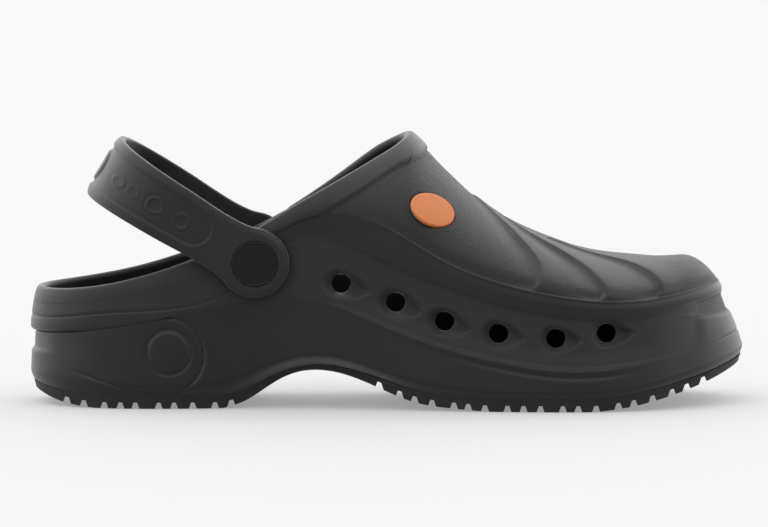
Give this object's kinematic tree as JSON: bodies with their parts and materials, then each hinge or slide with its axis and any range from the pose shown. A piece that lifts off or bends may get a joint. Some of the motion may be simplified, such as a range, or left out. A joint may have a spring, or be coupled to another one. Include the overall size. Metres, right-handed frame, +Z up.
{
  "type": "safety sandal",
  "caption": "Black moulded-foam work clog for the right foot: closed vented toe, open back, heel strap on rivets, plain orange badge and a lugged slip-resistant outsole.",
  "frame": {"origin": "on the floor, below the middle of the clog's bounding box", "axes": "+X to the toe, +Y to the inner side of the foot, +Z up; the clog stands on its sole"},
  "size_m": [0.288, 0.108, 0.1091],
  "materials": {
    "foam": "matte moulded foam, finely grained",
    "footbed": "matte foam",
    "tread": "matte moulded rubber",
    "rivets": "satin hard plastic",
    "badge": "satin, left bare"
  },
  "bodies": {
    "root": {"upper": "foam", "sole": "foam", "heel_strap": "foam", "insole": "footbed", "outsole": "tread", "rivet_outer": "rivets", "rivet_inner": "rivets", "badge": "badge"}
  },
  "joints": []
}
